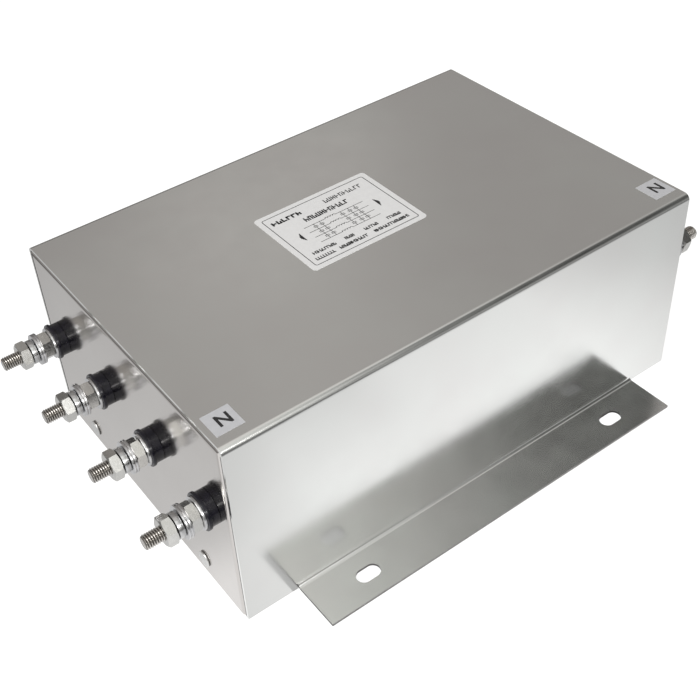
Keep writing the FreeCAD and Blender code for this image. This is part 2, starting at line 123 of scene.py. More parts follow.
def lathe(profile, steps=64, closed=True):
    """Piece turned about X from (x, r) points. Open profiles start and end on the axis."""
    verts = []
    faces = []
    count = len(profile)
    for k in range(steps):
        angle = 2 * math.pi * k / steps
        for x, r in profile:
            verts.append((x, r * math.cos(angle), r * math.sin(angle)))
    last = count if closed else count - 1
    for k in range(steps):
        a = k * count
        b = ((k + 1) % steps) * count
        for i in range(last):
            j = (i + 1) % count
            faces.append((a + i, a + j, b + j, b + i))
    return verts, faces


def rounded(profile, radius, steps=3):
    """The closed (x, r) profile with each corner rounded."""
    points = []
    count = len(profile)
    for i, corner in enumerate(profile):
        here = Vector(corner)
        before = Vector(profile[i - 1]) - here
        after = Vector(profile[(i + 1) % count]) - here
        reach = min(radius, 0.45 * before.length, 0.45 * after.length)
        start = here + before.normalized() * reach
        end = here + after.normalized() * reach
        for k in range(steps + 1):
            t = k / steps
            points.append(tuple(start * (1 - t) ** 2 + here * 2 * t * (1 - t) + end * t ** 2))
    return points


def threaded_rod(tip, back, depth=0.74, pitch=1.25, around=40, along=8, chamfer=0.9):
    """Rod with a helical thread between its tip and its back end."""
    rings = int((back - tip) / pitch * along)
    verts = []
    faces = []
    for i in range(rings + 1):
        x = tip + (back - tip) * i / rings
        for k in range(around):
            angle = 2 * math.pi * k / around
            phase = ((x - tip) / pitch - k / around) % 1.0
            crest = abs(2 * phase - 1)
            height = min(1.0, max(0.0, (crest - 0.1) / 0.78))
            r = STUD_R - depth * (1 - height)
            r = min(r, STUD_R - chamfer + (x - tip))
            verts.append((x, r * math.cos(angle), r * math.sin(angle)))
    for i in range(rings):
        for k in range(around):
            a = i * around + k
            b = i * around + (k + 1) % around
            faces.append((a, b, b + around, a + around))
    for ring, x in ((0, tip), (rings, back)):
        verts.append((x, 0, 0))
        middle = len(verts) - 1
        for k in range(around):
            faces.append((ring * around + k, ring * around + (k + 1) % around, middle))
    return verts, faces


def hex_nut(x0, x1, across=14.0, bore=3.5, mouth=4.15, steps=96, slope_deg=30.0, flat_share=0.95):
    """Hexagon nut whose corners are chamfered on both faces, with a countersunk bore."""
    apothem = across / 2
    disc = apothem * flat_share
    slope = math.tan(math.radians(slope_deg))
    half = (x1 - x0) / 2
    middle = (x0 + x1) / 2
    bore_depth = half - (mouth - bore) * 0.8
    radii = []
    for k in range(steps):
        angle = 2 * math.pi * k / steps
        fold = (angle % (math.pi / 3)) - math.pi / 6
        radii.append(apothem / math.cos(fold))
    verts = []
    faces = []
    columns = 10
    for k in range(steps):
        angle = 2 * math.pi * k / steps
        rim = half - (radii[k] - disc) * slope
        mid_r = (disc + radii[k]) / 2
        mid_rim = half - (mid_r - disc) * slope
        near = [
            (bore, -bore_depth),
            (mouth, -half),
            (disc, -half),
            (mid_r, -mid_rim),
            (radii[k], -rim),
        ]
        far = [(r, -x) for r, x in reversed(near)]
        for r, x in near + far:
            verts.append((middle + x, r * math.cos(angle), r * math.sin(angle)))
    for k in range(steps):
        a = k * columns
        b = ((k + 1) % steps) * columns
        for i in range(columns):
            j = (i + 1) % columns
            faces.append((a + i, a + j, b + j, b + i))
    return verts, faces


def spring_washer(x0, section, free, inner=4.25, outer=6.9, turn_deg=344.0, steps=64):
    """One square-section turn with its ends apart, slightly rounded along its edges."""
    start_deg = 8.0
    climb = free - section
    ring = rounded([(0, inner), (0, outer), (section, outer), (section, inner)], EDGE_R, 2)
    verts = []
    faces = []
    count = len(ring)
    for k in range(steps + 1):
        share = k / steps
        angle = math.radians(start_deg + turn_deg * share)
        for x, r in ring:
            verts.append((x0 + climb * share + x, r * math.cos(angle), r * math.sin(angle)))
    for k in range(steps):
        for i in range(count):
            j = (i + 1) % count
            faces.append((k * count + i, k * count + j, (k + 1) * count + j, (k + 1) * count + i))
    faces.append(tuple(range(count)))
    faces.append(tuple(range(steps * count, (steps + 1) * count)))
    return verts, faces


def block(x0, x1, y0, y1, z0, z1):
    verts = [(x, y, z) for x in (x0, x1) for y in (y0, y1) for z in (z0, z1)]
    faces = [(0, 1, 3, 2), (4, 6, 7, 5), (0, 4, 5, 1), (2, 3, 7, 6), (0, 2, 6, 4), (1, 5, 7, 3)]
    return verts, faces


# Limits for telling the flat, the bent and the cut faces of a sheet apart
CUT_BAND = 1.7 * MM
WELD = 2e-6
FLAT_ANGLE = math.radians(0.4)
SMOOTH_ANGLE = math.radians(35)
SHARP_ANGLE = math.radians(40)
END_X = 0.145


def mark_cut_faces(bm, thickness):
    """Gives the second material to the narrow bands where the sheet was cut.

    A band lies between two sharp edges that are less than a thickness apart.
    The bands at the ends of the case lie in the joints and keep the sheet's own material.
    """
    done = set()
    for first in bm.faces:
        if first in done:
            continue
        done.add(first)
        group = [first]
        border = 0.0
        for face in group:
            for edge in face.edges:
                smooth = edge.is_manifold and edge.calc_face_angle() < SMOOTH_ANGLE
                if not smooth:
                    border += edge.calc_length()
                    continue
                for other in edge.link_faces:
                    if other not in done:
                        done.add(other)
                        group.append(other)
        at_end = all(abs(face.calc_center_median().x) > END_X for face in group)
        area = sum(face.calc_area() for face in group)
        if border > 0 and not at_end and area / (border / 2) < thickness:
            for face in group:
                face.material_index = 1


def soft_edged(node, name, material, width=0.2):
    """Copy of a CAD sheet with its cut edges eased, so that they catch the light."""
    source = frame["nodes"][node]
    mesh = source.data.copy()
    bm = bmesh.new()
    bm.from_mesh(mesh)
    bmesh.ops.remove_doubles(bm, verts=bm.verts, dist=WELD)
    bmesh.ops.dissolve_limit(bm, angle_limit=FLAT_ANGLE, verts=bm.verts, edges=bm.edges)
    bm.to_mesh(mesh)
    bm.free()
    obj = place_mesh(mesh, name, material, (node,), 40.0)
    mesh.materials.append(cut_metal)
    bm = bmesh.new()
    bm.from_mesh(mesh)
    mark_cut_faces(bm, CUT_BAND)
    bm.to_mesh(mesh)
    bm.free()
    bevel = obj.modifiers.new("eased", "BEVEL")
    bevel.width = width * MM
    bevel.segments = 2
    bevel.limit_method = "ANGLE"
    bevel.angle_limit = SHARP_ANGLE
    even = obj.modifiers.new("even", "WEIGHTED_NORMAL")
    even.weight = 90
    even.keep_sharp = True
    return obj


# Materials


class Look:
    """A node material with short calls for the nodes used here."""

    def __init__(self, name):
        self.material = bpy.data.materials.new(name)
        self.material.use_nodes = True
        self.nodes = self.material.node_tree.nodes
        self.links = self.material.node_tree.links
        self.shader = self.nodes["Principled BSDF"]
        self.place = self.nodes.new("ShaderNodeTexCoord")

    def set(self, **values):
        for key, value in values.items():
            socket = self.shader.inputs[key.replace("_", " ")]
            is_colour = isinstance(value, tuple) and len(value) == 3
            socket.default_value = (*value, 1.0) if is_colour else value
        return self

    def noise(self, scale, detail=3.0, stretch=(1, 1, 1), roughness=0.55):
        mapping = self.nodes.new("ShaderNodeMapping")
        mapping.inputs["Scale"].default_value = stretch
        self.links.new(self.place.outputs["Object"], mapping.inputs["Vector"])
        node = self.nodes.new("ShaderNodeTexNoise")
        node.inputs["Scale"].default_value = scale
        node.inputs["Detail"].default_value = detail
        node.inputs["Roughness"].default_value = roughness
        self.links.new(mapping.outputs["Vector"], node.inputs["Vector"])
        return node.outputs["Fac"]

    def spread(self, value, low, high, to="Roughness", start=0.3, end=0.7):
        node = self.nodes.new("ShaderNodeMapRange")
        node.inputs["From Min"].default_value = start
        node.inputs["From Max"].default_value = end
        node.inputs["To Min"].default_value = low
        node.inputs["To Max"].default_value = high
        self.links.new(value, node.inputs["Value"])
        if to:
            self.links.new(node.outputs["Result"], self.shader.inputs[to])
        return node.outputs["Result"]

    def colours(self, value, dark, light, start=0.3, end=0.7):
        node = self.nodes.new("ShaderNodeValToRGB")
        node.color_ramp.elements[0].position = start
        node.color_ramp.elements[1].position = end
        node.color_ramp.elements[0].color = (*dark, 1.0)
        node.color_ramp.elements[1].color = (*light, 1.0)
        self.links.new(value, node.inputs["Fac"])
        self.links.new(node.outputs["Color"], self.shader.inputs["Base Color"])
        return self

    def bumps(self, *layers):
        """Layers of (height value, distance in metres, strength), the first one deepest."""
        below = None
        for height, distance, strength in layers:
            node = self.nodes.new("ShaderNodeBump")
            node.inputs["Strength"].default_value = strength
            node.inputs["Distance"].default_value = distance
            self.links.new(height, node.inputs["Height"])
            if below is not None:
                self.links.new(below, node.inputs["Normal"])
            below = node.outputs["Normal"]
        self.links.new(below, self.shader.inputs["Normal"])
        return self


def sheet_metal(name, dark, light, stretch, rough=(0.15, 0.21)):
    look = Look(name).set(Metallic=1.0)
    cloud = look.noise(14.0, 4.0)
    grain = look.noise(900.0, 2.0, stretch)
    wave = look.noise(7.0, 1.5)
    look.colours(cloud, dark, light)
    look.spread(look.noise(45.0, 5.0), rough[0], rough[1])
    look.bumps((wave, 0.00035, 1.0), (grain, 0.000004, 1.0))
    return look.material


def plated(name, dark, light, rough, grain_scale=1600.0, depth=0.00001, metallic=1.0):
    look = Look(name).set(Metallic=metallic)
    look.colours(look.noise(420.0, 4.0), dark, light)
    look.spread(look.noise(700.0, 4.0), rough[0], rough[1])
    look.bumps((look.noise(grain_scale, 3.0), depth, 1.0))
    return look.material


def moulded(name, dark, light, rough, scale=260.0, depth=0.00001):
    look = Look(name).set(Metallic=0.0)
    look.colours(look.noise(scale, 4.0), dark, light)
    look.spread(look.noise(scale * 1.7, 3.0), rough[0], rough[1])
    look.bumps((look.noise(scale * 3, 3.0), depth, 1.0))
    return look.material


# Each has its darkest and lightest colour, then the range of its roughness.
GRAIN_ALONG_X = (0.03, 1, 1)
GRAIN_UPRIGHT = (1, 1, 0.03)
cover_metal = sheet_metal(
    "tinned cover sheet", (0.833, 0.827, 0.815), (0.863, 0.875, 0.857), GRAIN_ALONG_X
)
end_metal = sheet_metal(
    "tinned end sheet", (0.61, 0.585, 0.565), (0.665, 0.64, 0.62), GRAIN_UPRIGHT, (0.115, 0.155)
)
base_metal = sheet_metal(
    "tinned base sheet", (0.635, 0.65, 0.63), (0.69, 0.71, 0.69), GRAIN_ALONG_X, (0.2, 0.3)
)
cut_metal = plated(
    "cut steel edge", (0.20, 0.195, 0.19), (0.30, 0.295, 0.29), (0.34, 0.46), 1400.0, 0.00001
)
rivet_metal = plated(
    "bright rivet", (0.70, 0.70, 0.69), (0.80, 0.80, 0.79), (0.32, 0.42), 900.0, 0.000003
)
stud_metal = plated("plated stud", (0.56, 0.53, 0.50), (0.70, 0.675, 0.64), (0.14, 0.24))
# Darker material for the faces at the thread's root: painted shade in the grooves
thread_root_shade = plated("painted thread-root shade", (0.16, 0.15, 0.14), (0.26, 0.25, 0.235), (0.3, 0.45))
nut_metal = plated(
    "plated nut", (0.62, 0.615, 0.595), (0.68, 0.675, 0.655), (0.20, 0.28), 500.0, 0.000003
)
washer_metal = plated(
    "bright washer", (0.56, 0.56, 0.57), (0.66, 0.66, 0.67), (0.18, 0.26), 900.0, 0.000003
)
spring_metal = plated(
    "spring washer", (0.52, 0.52, 0.525), (0.62, 0.62, 0.62), (0.18, 0.28), 900.0, 0.000004
)
bushing_black = moulded(
    "glossy black moulding",
    (0.005, 0.005, 0.009),
    (0.012, 0.011, 0.018),
    (0.16, 0.26),
    260.0,
    0.000005,
)
bushing_shader = bushing_black.node_tree.nodes["Principled BSDF"]
bushing_shader.inputs["Specular IOR Level"].default_value = 0.36
copper_bar = plated("bare copper", (0.72, 0.36, 0.24), (0.86, 0.50, 0.36), (0.2, 0.34), 900.0)
core_paint = moulded(
    "core coating", (0.03, 0.11, 0.07), (0.06, 0.19, 0.12), (0.4, 0.55), 500.0, 0.00004
)
fibre_board = moulded(
    "pressed fibre", (0.45, 0.33, 0.18), (0.60, 0.46, 0.28), (0.6, 0.8), 700.0, 0.00005
)
circuit_board = moulded(
    "glass-fibre board", (0.09, 0.22, 0.09), (0.15, 0.32, 0.14), (0.3, 0.45), 900.0
)
capacitor_yellow = moulded(
    "moulded capacitor box", (0.60, 0.50, 0.10), (0.74, 0.64, 0.18), (0.25, 0.38), 400.0
)
resistor_blue = moulded(
    "lacquered resistor", (0.30, 0.48, 0.60), (0.42, 0.60, 0.72), (0.3, 0.45), 900.0
)
label_film = moulded(
    "white label film", (0.80, 0.80, 0.805), (0.84, 0.84, 0.845), (0.32, 0.42), 300.0, 0.000006
)
mark_film = moulded(
    "grey-white marker film", (0.54, 0.545, 0.57), (0.59, 0.595, 0.62), (0.3, 0.42), 300.0, 0.000006
)
# Dark material for painted shade in gaps: the joints at the case ends and the rings under the rivet
# heads
gap_shade_dark = moulded("painted gap shade", (0.07, 0.07, 0.072), (0.11, 0.108, 0.106), (0.5, 0.7), 700.0)
label_ink = moulded(
    "black print", (0.012, 0.012, 0.013), (0.035, 0.035, 0.036), (0.35, 0.5), 900.0
)

# The inner pieces are the CAD's own solids, with only their materials changed.
CARRIED = {
    "copper": copper_bar,
    "core_coating": core_paint,
    "fibre": fibre_board,
    "board": circuit_board,
    "capacitor_case": capacitor_yellow,
    "resistor_body": resistor_blue,
    "fastener_metal": nut_metal,
    "bushing_black": bushing_black,
    "rivet_metal": rivet_metal,
    "stud_metal": stud_metal,
    "washer_metal": washer_metal,
    "case_metal": base_metal,
    "label_white": label_film,
}
for part in frame["record"]["subparts"]:
    obj = frame["nodes"].get(part["node"])
    if obj is not None:
        for index in range(len(obj.material_slots)):
            obj.material_slots[index].material = CARRIED[part["material_slot"]]

# Case

soft_edged("cover", "cover_sheet", cover_metal)
soft_edged("line_end_plate", "line_end_sheet", end_metal)
soft_edged("load_end_plate", "load_end_sheet", end_metal)
soft_edged("base_plate", "base_sheet", base_metal)

# Dark strips just behind the edges of the cover, in the gap to the rounded end plates: painted
# shade standing in for the shadow in that gap
JOINT_OFFSET, JOINT_DEPTH, JOINT_HALF = 0.55, 0.8, 0.4
JOINT_INSET, JOINT_FOOT, JOINT_CORNER = 1.8, 0.4, 5.0
JOINT_LOW, JOINT_HIGH = CASE_TOP - 2.2, CASE_TOP - 1.4
joint_x = FACE_X + JOINT_OFFSET
joint_back = joint_x + JOINT_DEPTH
joint_shade = Shape()
for turn in (WHOLE, TURN):
    for side in (-1, 1):
        wall = side * (HALF_W - JOINT_INSET)
        low, high = wall - JOINT_HALF, wall + JOINT_HALF
        upright = block(joint_x, joint_back, low, high, JOINT_FOOT, CASE_TOP - JOINT_CORNER)
        joint_shade.add(upright, turn)
    half = HALF_W - JOINT_CORNER
    joint_shade.add(block(joint_x, joint_back, -half, half, JOINT_LOW, JOINT_HIGH), turn)
joint_shade.build("end_joint_shade", gap_shade_dark)

rivets = Shape()
rivet_shade_rings = Shape()
HEAD_R, RIM, HEAD = 4.7, 0.8, 1.7
SHANK_R, SHANK_END = 2.4, FACE_X + 3.0
TAIL_R, TAIL_END_R, TAIL_END = 3.3, 3.2, FACE_X + 5.5
ON_AXIS = 0.001
DOME_STEPS = 8
UNDERCUT_X, UNDERCUT_R = FACE_X - 0.3, HEAD_R - 0.5
dome = [(FACE_X - HEAD, ON_AXIS)]
for k in range(1, DOME_STEPS + 1):
    angle = math.radians(90 * k / DOME_STEPS)
    rise = (HEAD - RIM) * math.cos(angle) ** 0.9 if k < DOME_STEPS else 0.0
    dome.append((FACE_X - RIM - rise, HEAD_R * math.sin(angle)))
dome += [(FACE_X - 0.35, HEAD_R - 0.15), (UNDERCUT_X, UNDERCUT_R)]
dome += [(FACE_X, UNDERCUT_R), (FACE_X, SHANK_R), (SHANK_END, SHANK_R)]
dome += [(SHANK_END, TAIL_R), (TAIL_END, TAIL_END_R), (TAIL_END, ON_AXIS)]
# A dark ring in the gap under each head: painted shade where the head meets the face
rivet_shade_ring = [
    (UNDERCUT_X, UNDERCUT_R),
    (UNDERCUT_X, HEAD_R - 0.2),
    (FACE_X - 0.02, HEAD_R - 0.2),
    (FACE_X - 0.02, UNDERCUT_R),
]
for turn in (WHOLE, TURN):
    for y in (-RIVET_Y, RIVET_Y):
        spot = turn @ Matrix.Translation((0, y, RIVET_Z))
        rivets.add(lathe(dome, 40, False), spot)
        rivet_shade_rings.add(lathe(rivet_shade_ring, 40), spot)
rivets.build("rivet_heads", rivet_metal, ("end_rivets",), 40.0)
rivet_shade_rings.build("rivet_gap_shade", gap_shade_dark, (), 40.0)

# Terminals

bushing = rounded(
    [
        (BUSHING_END, BUSHING_BORE_R),
        (BUSHING_END, BUSHING_LIP_R),
        (BUSHING_END + BUSHING_LIP, BUSHING_LIP_R),
        (BUSHING_END + BUSHING_LIP, BUSHING_BODY_R),
        (FACE_X, BUSHING_BODY_R),
        (FACE_X, SPIGOT_R),
        (FACE_X + SPIGOT_LENGTH, SPIGOT_R),
        (FACE_X + SPIGOT_LENGTH, BUSHING_BORE_R),
    ],
    MOULDED_EDGE_R,
)
line_bushings = Shape()
load_bushings = Shape()
for i, place in enumerate(terminals()):
    (line_bushings if i < 4 else load_bushings).add(lathe(bushing, 72), place)
line_bushings.build("line_bushing_mouldings", bushing_black, ("line_bushings",))
load_bushings.build("load_bushing_mouldings", bushing_black, ("load_bushings",))

studs = Shape()
for place in terminals():
    studs.add(threaded_rod(STUD_TIP, STUD_BACK), place)
threaded = studs.build("threaded_studs", stud_metal, ("terminal_studs",), 50.0)
# Faces at the root of the thread take the darker material, painted shade in the grooves
threaded.data.materials.append(thread_root_shade)
ROOT_SHADE_RANGE = (3.0, 3.55)
for face in threaded.data.polygons:
    y, z = face.center.y / MM, face.center.z / MM - TERMINAL_Z
    off_axis = min(math.hypot(y - row, z) for row in ROWS)
    if ROOT_SHADE_RANGE[0] < off_axis < ROOT_SHADE_RANGE[1]:
        face.material_index = 1

washers = Shape()
for place in terminals():
    for x in (FIRST_WASHER, SECOND_WASHER, THIRD_WASHER):
        back = x + WASHER_THICK
        corners = [(x, WASHER_BORE_R), (x, WASHER_R), (back, WASHER_R), (back, WASHER_BORE_R)]
        washers.add(lathe(rounded(corners, EDGE_R, 2), 64), place)
washers.build("plain_washers", washer_metal, ("flat_washers",), 40.0)

# Drawn pressed nearly flat, within the room of the open washer of the CAD
springs = Shape()
for place in terminals():
    springs.add(spring_washer(SPRING_END + 0.35, section=3.05, free=3.35), place)
springs.build("split_washers", spring_metal, ("spring_washers",), 40.0)

# Node, ends along X, and how far the nut of each terminal is turned, in degrees
NUTS = {
    "outer_nuts": ("terminal_nuts", TERMINAL_NUT, SPRING_END, (32, 44, 48, 3, 30, 8, 50, 17)),
    "lock_nuts": ("clamp_nuts", CLAMP_NUT, FIRST_WASHER, (28, 33, 15, 14, 12, 44, 20, 36)),
}
for name, (node, x0, x1, spins) in NUTS.items():
    nuts = Shape()
    for place, spin in zip(terminals(), spins):
        nuts.add(hex_nut(x0, x1), place @ Matrix.Rotation(math.radians(spin), 4, "X"))
    nuts.build(name, nut_metal, (node,), 14.0)


# Labels: white film with a thin printed frame and a plain diagram of coils and capacitors

LABEL_X, LABEL_Y = -6.7, 7.5
LABEL_L, LABEL_W = 75.5, 58.0
FILM = 0.12
INK = 0.16
MARK_SIZE = 15.0
LETTER_SIZE, LETTER_WEIGHT = 10.4, 0.24
LETTER_SHIFT = (0.8, 0.3)


def rounded_plate(length, width, radius, z0, z1, steps=8):
    ring = []
    for cx, cy, start in ((1, 1, 0), (-1, 1, 90), (-1, -1, 180), (1, -1, 270)):
        for k in range(steps + 1):
            angle = math.radians(start + 90 * k / steps)
            x = cx * (length / 2 - radius) + radius * math.cos(angle)
            y = cy * (width / 2 - radius) + radius * math.sin(angle)
            ring.append((x, y))
    count = len(ring)
    verts = [(x, y, z0) for x, y in ring] + [(x, y, z1) for x, y in ring]
    faces = [tuple(range(count - 1, -1, -1)), tuple(range(count, 2 * count))]
    for i in range(count):
        j = (i + 1) % count
        faces.append((i, j, j + count, i + count))
    return verts, faces


def rounded_frame(length, width, radius, line, z0, z1, steps=8):
    """Thin line around a rounded rectangle."""
    outer, _ = rounded_plate(length, width, radius, z0, z1, steps)
    inner, _ = rounded_plate(length - 2 * line, width - 2 * line, radius - line, z0, z1, steps)
    count = len(outer) // 2
    verts = outer + inner
    faces = []
    for i in range(count):
        j = (i + 1) % count
        a, b = i, j
        c, d = 2 * count + i, 2 * count + j
        faces.append((a + count, b + count, d + count, c + count))
        faces.append((a, c, d, b))
        faces.append((a, b, b + count, a + count))
        faces.append((c, c + count, d + count, d))
    return verts, faces


def stroke(x0, y0, x1, y1, width=0.35):
    """Printed straight line on the label, in the label's own plane."""
    along = Vector((x1 - x0, y1 - y0, 0)).normalized() * (width / 2)
    side = Vector((-along.y, along.x, 0))
    a, b = Vector((x0, y0, 0)) - along, Vector((x1, y1, 0)) + along
    corners = [a - side, b - side, b + side, a + side]
    verts = [(c.x, c.y, 0.0) for c in corners] + [(c.x, c.y, INK - FILM) for c in corners]
    faces = [(3, 2, 1, 0), (4, 5, 6, 7), (0, 1, 5, 4), (1, 2, 6, 5), (2, 3, 7, 6), (3, 0, 4, 7)]
    return verts, faces


film = Shape()
film_place = Matrix.Translation((LABEL_X, LABEL_Y, CASE_TOP))
film.add(rounded_plate(LABEL_L, LABEL_W, 2.2, 0.0, FILM), film_place)
film.build("rating_film", label_film, ("rating_label",))

# The label reads with its top towards the back of the case.
on_film = Matrix.Translation((LABEL_X, LABEL_Y, CASE_TOP + FILM))
ink = Shape()
ink.add(rounded_frame(LABEL_L - 6.4, LABEL_W - 6.2, 1.4, 0.42, 0.0, INK - FILM), on_film)


def ink_line(x0, y0, x1, y1, width=0.35):
    ink.add(stroke(x0, y0, x1, y1, width), on_film)


def ink_coil(x, y, bumps=4, size=1.7):
    for k in range(bumps):
        centre = x + (k + 0.5) * size
        last = (centre - size / 2, y)
        for step in range(1, 7):
            angle = math.pi * (1 - step / 6)
            point = (centre + size / 2 * math.cos(angle), y + size / 2 * math.sin(angle))
            ink_line(*last, *point, 0.3)
            last = point


def ink_ticks(x0, x1, y, height, pitch, width, seed):
    """Row of small upright marks that stands in for a line of print."""
    x = x0
    k = seed
    while x < x1 - 0.6 * pitch:
        k = (k * 7 + 3) % 13
        low, high = y - height / 2, y + height / 2
        across = x + 0.55 * pitch
        ink_line(x, low, x, high, width)
        level = (low, y, high)[k % 3]
        ink_line(x, level, across, level, width)
        if k % 4 < 2:
            ink_line(across, low, across, high if k % 2 else y, width)
        x += pitch


# Positions of the print are in millimetres from the middle of the label.
LINES_Y = (5.4, 0.1, -5.2, -10.5)
for y in LINES_Y:
    ink_line(-20, y, -6, y, 0.32)
    ink_coil(-6, y)
    ink_line(0.8, y, 19.5, y, 0.32)
for x in (-14, -10, 4, 9, 13):
    for top, low in zip(LINES_Y, LINES_Y[1:]):
        middle = (top + low) / 2
        ink_line(x, top, x, middle + 0.5, 0.32)
        ink_line(x, low, x, middle - 0.5, 0.32)
        ink_line(x - 1.2, middle + 0.5, x + 1.2, middle + 0.5, 0.4)
        ink_line(x - 1.2, middle - 0.5, x + 1.2, middle - 0.5, 0.4)
for side in (-1, 1):
    for k in range(5):
        x = side * (25.0 + 0.45 * k)
        ink_line(x, -0.6 - 0.9 * (4 - k), x, -0.6 + 0.9 * (4 - k), 0.5)
ink_ticks(-31.0, -11.5, 19.3, 2.4, 3.2, 1.1, 8)
ink_ticks(3.5, 29.5, 19.2, 2.8, 2.6, 0.62, 5)
ink_ticks(-15.0, 14.5, 11.6, 3.0, 2.7, 0.85, 2)
for x0, x1, seed in ((-29.5, -14.5, 1), (-8.5, -3.0, 4), (4.5, 13.5, 7), (20.0, 28.5, 3)):
    ink_ticks(x0, x1, -16.3, 1.9, 1.5, 0.55, seed)
for x0, x1, seed in ((-31.0, -18.5, 6), (-15.5, 4.0, 2), (7.5, 30.5, 9)):
    ink_ticks(x0, x1, -21.3, 1.9, 1.55, 0.6, seed)
ink.build("rating_print", label_ink)

MARKS = ((-139.3, -82.65), (140.7, -82.65))
marks = Shape()
for x, y in MARKS:
    plate = rounded_plate(MARK_SIZE, MARK_SIZE, 0.15, 0.0, FILM)
    marks.add(plate, Matrix.Translation((x, y, CASE_TOP)))
marks.build("terminal_marks", mark_film, ("neutral_labels",))


def letter(text, size, place, name):
    curve = bpy.data.curves.new(name, "FONT")
    curve.body = text
    curve.size = size * MM
    curve.offset = LETTER_WEIGHT * MM
    curve.extrude = (INK - FILM) / 2 * MM
    curve.align_x = "CENTER"
    curve.align_y = "CENTER"
    temporary = bpy.data.objects.new(name + "_text", curve)
    mesh = bpy.data.meshes.new_from_object(temporary)
    bpy.data.objects.remove(temporary)
    low = min(v.co.z for v in mesh.vertices)
    mesh.transform(Matrix.Translation((0, 0, -low)))
    width = [v.co.x for v in mesh.vertices]
    height = [v.co.y for v in mesh.vertices]
    middle = ((min(width) + max(width)) / 2, (min(height) + max(height)) / 2)
    mesh.transform(Matrix.Translation((-middle[0], -middle[1], 0)))
    mesh.transform(place)
    return place_mesh(mesh, name, label_ink, (), 30.0)


for index, (x, y) in enumerate(MARKS):
    spot = Vector((x + LETTER_SHIFT[0], y + LETTER_SHIFT[1], CASE_TOP + FILM)) * MM
    letter("N", LETTER_SIZE, Matrix.Translation(spot), f"mark_letter_{index + 1}")

# Floor, world and lamps

FLOOR_SIZE, FLOOR_DROP = 9.0, 0.0002
FLOOR_GLOW = 0.80
bpy.ops.mesh.primitive_plane_add(size=FLOOR_SIZE, location=(0, 0, -FLOOR_DROP))
floor = bpy.context.object
floor.name = "floor"
pale = bpy.data.materials.new("pale floor")
pale.use_nodes = True
tree = pale.node_tree
tree.nodes.remove(tree.nodes["Principled BSDF"])
output = tree.nodes["Material Output"]
path = tree.nodes.new("ShaderNodeLightPath")
ground = tree.nodes.new("ShaderNodeTexCoord")
split = tree.nodes.new("ShaderNodeSeparateXYZ")
tree.links.new(ground.outputs["Object"], split.inputs[0])


def sum_up(kind, a, b=None):
    node = tree.nodes.new("ShaderNodeMath")
    node.operation = kind
    for socket, value in zip(node.inputs, (a, b)):
        if isinstance(value, (int, float)):
            socket.default_value = value
        elif value is not None:
            tree.links.new(value, socket)
    return node.outputs[0]


def beyond(axis, start, gain):
    """Distance outside the case along one axis, stretched by a gain."""
    reach = sum_up("SUBTRACT", sum_up("ABSOLUTE", split.outputs[axis]), start)
    return sum_up("MULTIPLY", sum_up("MAXIMUM", reach, 0.0), gain)


def span(value, low, high, start, end, kind="LINEAR"):
    """Goes from start to end while the value goes from low to high, and stays there outside."""
    node = tree.nodes.new("ShaderNodeMapRange")
    node.interpolation_type = kind
    for name, number in (("From Min", low), ("From Max", high), ("To Min", start), ("To Max", end)):
        node.inputs[name].default_value = number
    tree.links.new(value, node.inputs["Value"])
    return node.outputs["Result"]


# What metal sees of the floor is a painted glow: a painted pool of light. Next to the object it is
# white, and it falls off with the distance, as on a small lit table.
WHITE, DARKEST = 1.0, 0.18
FALL_SHARE = 0.84
LIT_LEFT, LIT_RIGHT, LIT_Y = -0.070, 0.130, 0.140
LINE_END_X = -0.1495
END_LEVEL, END_SLOPE, END_STEP = 0.70, 0.55, 0.27
LIT_POOL_X, LIT_POOL_Y = 0.34, 0.285
UNDER_X, UNDER_Y = 0.123, 0.128
x, y = split.outputs["X"], split.outputs["Y"]
out_y = sum_up("ABSOLUTE", y)
right_half = span(x, -0.01, 0.02, 0.0, 1.9)
fall_y = sum_up("MULTIPLY", beyond("Y", LIT_Y, 1.0), sum_up("SUBTRACT", 4.2, right_half))
past_right = sum_up("MAXIMUM", sum_up("SUBTRACT", x, LIT_RIGHT), 0.0)
past_left = sum_up("MAXIMUM", sum_up("SUBTRACT", LIT_LEFT, x), 0.0)
fall_right = sum_up("MULTIPLY", past_right, 3.4)
fall_left = sum_up("MULTIPLY", past_left, span(out_y, 0.120, 0.165, 2.8, 4.0))
fall = sum_up("ADD", fall_y, sum_up("ADD", fall_right, fall_left))
near_level = sum_up("SUBTRACT", WHITE, sum_up("MULTIPLY", fall, FALL_SHARE))
mirrored = sum_up("MAXIMUM", near_level, span(x, 0.18, 0.28, 0.72, 0.59))
# Beyond the line end it has a level of its own, darkest towards the back. In front that level
# goes over white, up to about 1.13.
front_part = span(y, -0.034, -0.076, 0.0, END_STEP, "SMOOTHSTEP")
back_level = sum_up("SUBTRACT", END_LEVEL, sum_up("MULTIPLY", y, END_SLOPE))
left_level = sum_up("ADD", back_level, front_part)
left_side = sum_up("LESS_THAN", x, LINE_END_X)
change = sum_up("MULTIPLY", left_side, sum_up("SUBTRACT", left_level, mirrored))
mirrored = sum_up("ADD", mirrored, change)
# Further out the painted pool of light ends and the glow turns dark.
less_right = span(x, -0.02, 0.06, 0.0, 0.62)
far_y = sum_up("MAXIMUM", sum_up("SUBTRACT", beyond("Y", LIT_POOL_Y, 3.8), less_right), 0.0)
far = sum_up("MAXIMUM", beyond("X", LIT_POOL_X, 4.5), far_y)
mirrored = sum_up("MAXIMUM", sum_up("SUBTRACT", mirrored, far), DARKEST)
